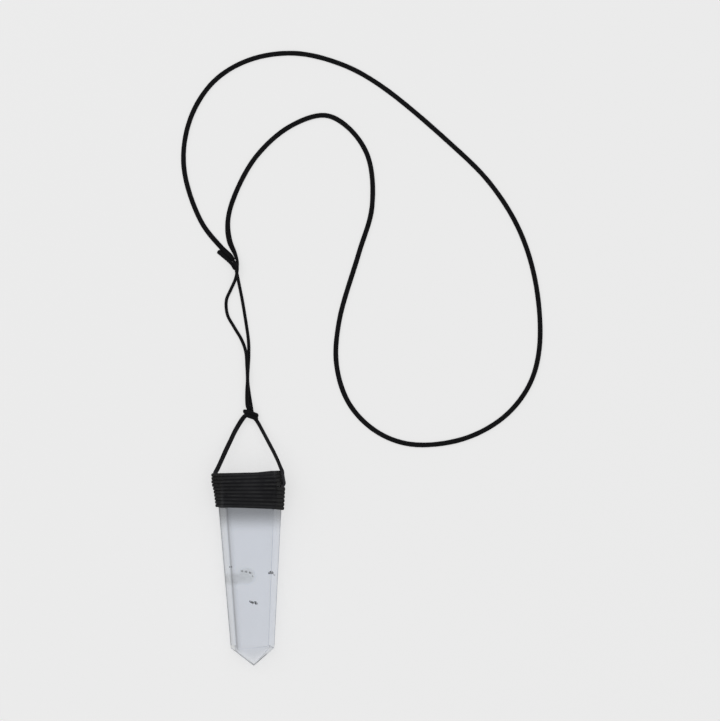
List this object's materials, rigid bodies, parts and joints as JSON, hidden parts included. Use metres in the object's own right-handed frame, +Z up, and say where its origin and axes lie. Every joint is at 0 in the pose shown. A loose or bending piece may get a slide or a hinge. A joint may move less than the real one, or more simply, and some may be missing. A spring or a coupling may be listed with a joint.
{
  "type": "quartz necklace",
  "caption": "Clear quartz point with its wide end bound in black cord, hung by cord legs, a small knot and thin strands from a closed black neck cord.",
  "frame": {"origin": "on the surface that the necklace lies on, under the middle of the box round the crystal and its binding", "axes": "+Y from the crystal's tip towards the neck cord, +X to the right as seen from above, +Z up from the surface"},
  "size_m": [0.1587, 0.2705, 0.0155],
  "materials": {
    "quartz": "clear polished quartz with a faint veil and dark specks",
    "cord": "black waxed cotton cord, softly satin"
  },
  "bodies": {
    "root": {"crystal": "quartz", "binding": "cord", "left_leg": "cord", "right_leg": "cord", "knot": "cord", "hanging_loop": "cord", "neck_cord": "cord"}
  },
  "joints": []
}
